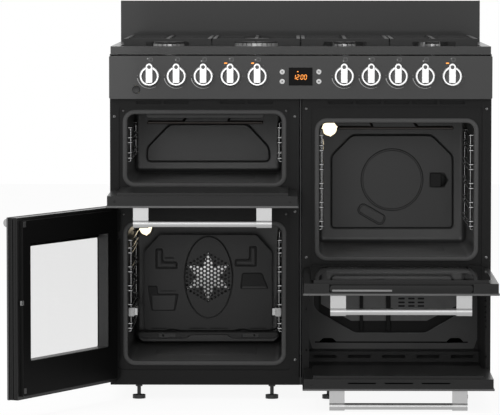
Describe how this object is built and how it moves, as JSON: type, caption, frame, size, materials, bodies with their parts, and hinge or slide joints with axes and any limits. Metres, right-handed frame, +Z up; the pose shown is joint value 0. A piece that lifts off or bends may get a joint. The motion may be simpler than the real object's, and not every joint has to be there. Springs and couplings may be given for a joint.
{
  "type": "range cooker with double oven",
  "caption": "Free-standing gas and electric range cooker with a grill, a side-hung fan oven, a tall oven and a storage compartment, all doors open.",
  "frame": {"origin": "on the floor, midway between the four outer levelling feet", "axes": "+X to the cooker's right as seen from the front, +Y to the back, +Z up"},
  "size_m": [1.2527, 1.068, 1.045],
  "materials": {
    "anthracite_enamel": "gloss",
    "black_enamel": "gloss",
    "grey_enamel": "speckled gloss",
    "black_glass": "gloss",
    "clear_glass": "clear",
    "brushed_steel": "satin",
    "zinc_steel": "matte",
    "chrome_wire": "polished",
    "cast_iron": "matte",
    "cap_enamel": "satin",
    "burner_alloy": "satin",
    "control_alloy": "satin",
    "rubber": "matte",
    "foot_plastic": "matte",
    "black_plastic": "satin",
    "white_plastic": "gloss",
    "heater_tube": "matte",
    "lamp_glass": "clear"
  },
  "bodies": {
    "cabinet": {"cabinet_walls": "anthracite_enamel", "back_panel": "zinc_steel", "base_tray": "black_enamel", "levelling_feet": "foot_plastic", "front_frames": "grey_enamel", "hob_plate": "anthracite_enamel", "splashback": "anthracite_enamel", "control_panel": "anthracite_enamel", "clock_display": "black_plastic", "burner_bases": "burner_alloy", "gas_rail": "zinc_steel", "control_bodies": "control_alloy", "grill_liner": "grey_enamel", "fan_oven_liner": "grey_enamel", "tall_oven_liner": "grey_enamel", "storage_liner": "black_enamel", "door_gaskets": "rubber", "fan_cover": "grey_enamel", "fan_motor": "zinc_steel", "heating_elements": "heater_tube", "oven_lamps": "lamp_glass", "side_racks": "chrome_wire", "door_hinges": "zinc_steel", "mains_terminal": "white_plastic"},
    "grill_door": {"grill_door_glass": "black_glass", "grill_door_frame": "black_enamel", "grill_door_handle": "brushed_steel"},
    "oven_door": {"oven_door_glass": "black_glass", "oven_door_frame": "black_enamel", "oven_door_inner_glass": "clear_glass", "oven_door_handle": "brushed_steel"},
    "tall_door": {"tall_door_glass": "black_glass", "tall_door_frame": "black_enamel", "tall_door_inner_glass": "clear_glass", "tall_door_handle": "brushed_steel"},
    "storage_door": {"storage_door_panel": "black_glass", "storage_door_frame": "black_enamel", "storage_door_handle": "brushed_steel"},
    "control_1": {"knob_1": "brushed_steel"},
    "control_2": {"knob_2": "brushed_steel"},
    "control_3": {"knob_3": "brushed_steel"},
    "control_4": {"knob_4": "brushed_steel"},
    "control_5": {"knob_5": "brushed_steel"},
    "control_6": {"knob_6": "brushed_steel"},
    "control_7": {"knob_7": "brushed_steel"},
    "control_8": {"knob_8": "brushed_steel"},
    "control_9": {"knob_9": "brushed_steel"},
    "control_10": {"knob_10": "brushed_steel"},
    "ignition": {"ignition_button": "black_plastic"},
    "clock_key_1": {"clock_button_1": "white_plastic"},
    "clock_key_2": {"clock_button_2": "white_plastic"},
    "clock_key_3": {"clock_button_3": "white_plastic"},
    "clock_key_4": {"clock_button_4": "white_plastic"},
    "fan": {"fan_blade": "burner_alloy"},
    "caps": {"burner_caps": "cap_enamel"},
    "support_1": {"pan_support_1": "cast_iron"},
    "support_2": {"pan_support_2": "cast_iron"},
    "support_3": {"pan_support_3": "cast_iron"},
    "support_4": {"pan_support_4": "cast_iron"},
    "runners": {"shelf_runners": "chrome_wire"}
  },
  "joints": [
    {"name": "grill_door_hinge", "type": "hinge", "parent": "cabinet", "child": "grill_door", "pos_m": [-0.251, -0.288, 0.538], "axis": [1, 0, 0], "range_deg": [-90, 0]},
    {"name": "oven_door_hinge", "type": "hinge", "parent": "cabinet", "child": "oven_door", "pos_m": [-0.492, -0.28, 0.282], "axis": [0, 0, 1], "range_deg": [0, 37]},
    {"name": "tall_door_hinge", "type": "hinge", "parent": "cabinet", "child": "tall_door", "pos_m": [0.251, -0.288, 0.333], "axis": [1, 0, 0], "range_deg": [-90, 0]},
    {"name": "storage_door_hinge", "type": "hinge", "parent": "cabinet", "child": "storage_door", "pos_m": [0.251, -0.288, 0.0686], "axis": [1, 0, 0], "range_deg": [-90, 0]},
    {"name": "control_1_turn", "type": "hinge", "parent": "cabinet", "child": "control_1", "pos_m": [-0.3946, -0.31, 0.8545], "axis": [0, 1, 0], "range_deg": [-210, 0]},
    {"name": "control_2_turn", "type": "hinge", "parent": "cabinet", "child": "control_2", "pos_m": [-0.3243, -0.31, 0.8545], "axis": [0, 1, 0], "range_deg": [-210, 0]},
    {"name": "control_3_turn", "type": "hinge", "parent": "cabinet", "child": "control_3", "pos_m": [-0.254, -0.31, 0.8545], "axis": [0, 1, 0], "range_deg": [-210, 0]},
    {"name": "control_4_turn", "type": "hinge", "parent": "cabinet", "child": "control_4", "pos_m": [-0.1837, -0.31, 0.8545], "axis": [0, 1, 0], "range_deg": [0, 300]},
    {"name": "control_5_turn", "type": "hinge", "parent": "cabinet", "child": "control_5", "pos_m": [-0.1134, -0.31, 0.8545], "axis": [0, 1, 0], "range_deg": [0, 300]},
    {"name": "control_6_turn", "type": "hinge", "parent": "cabinet", "child": "control_6", "pos_m": [0.1134, -0.31, 0.8545], "axis": [0, 1, 0], "range_deg": [-210, 0]},
    {"name": "control_7_turn", "type": "hinge", "parent": "cabinet", "child": "control_7", "pos_m": [0.1837, -0.31, 0.8545], "axis": [0, 1, 0], "range_deg": [-210, 0]},
    {"name": "control_8_turn", "type": "hinge", "parent": "cabinet", "child": "control_8", "pos_m": [0.254, -0.31, 0.8545], "axis": [0, 1, 0], "range_deg": [-210, 0]},
    {"name": "control_9_turn", "type": "hinge", "parent": "cabinet", "child": "control_9", "pos_m": [0.3243, -0.31, 0.8545], "axis": [0, 1, 0], "range_deg": [-210, 0]},
    {"name": "control_10_turn", "type": "hinge", "parent": "cabinet", "child": "control_10", "pos_m": [0.3946, -0.31, 0.8545], "axis": [0, 1, 0], "range_deg": [0, 300]},
    {"name": "ignition_press", "type": "slide", "parent": "cabinet", "child": "ignition", "axis": [0, 1, 0], "range_m": [0, 0.003], "stiffness_N_per_m": 400},
    {"name": "clock_key_1_press", "type": "slide", "parent": "cabinet", "child": "clock_key_1", "axis": [0, 1, 0], "range_m": [0, 0.001], "stiffness_N_per_m": 300},
    {"name": "clock_key_2_press", "type": "slide", "parent": "cabinet", "child": "clock_key_2", "axis": [0, 1, 0], "range_m": [0, 0.001], "stiffness_N_per_m": 300},
    {"name": "clock_key_3_press", "type": "slide", "parent": "cabinet", "child": "clock_key_3", "axis": [0, 1, 0], "range_m": [0, 0.001], "stiffness_N_per_m": 300},
    {"name": "clock_key_4_press", "type": "slide", "parent": "cabinet", "child": "clock_key_4", "axis": [0, 1, 0], "range_m": [0, 0.001], "stiffness_N_per_m": 300},
    {"name": "fan_spin", "type": "hinge", "parent": "cabinet", "child": "fan", "pos_m": [-0.252, 0.157, 0.2904], "axis": [0, 1, 0], "continuous": true},
    {"name": "caps_lift", "type": "slide", "parent": "cabinet", "child": "caps", "axis": [0, 0, 1], "range_m": [0, 0.003]},
    {"name": "support_1_lift", "type": "slide", "parent": "cabinet", "child": "support_1", "axis": [0, 0, 1], "range_m": [0, 0.08]},
    {"name": "support_2_lift", "type": "slide", "parent": "cabinet", "child": "support_2", "axis": [0, 0, 1], "range_m": [0, 0.08]},
    {"name": "support_3_lift", "type": "slide", "parent": "cabinet", "child": "support_3", "axis": [0, 0, 1], "range_m": [0, 0.08]},
    {"name": "support_4_lift", "type": "slide", "parent": "cabinet", "child": "support_4", "axis": [0, 0, 1], "range_m": [0, 0.08]},
    {"name": "runners_slide", "type": "slide", "parent": "cabinet", "child": "runners", "axis": [0, 1, 0], "range_m": [-0.3, 0]}
  ]
}
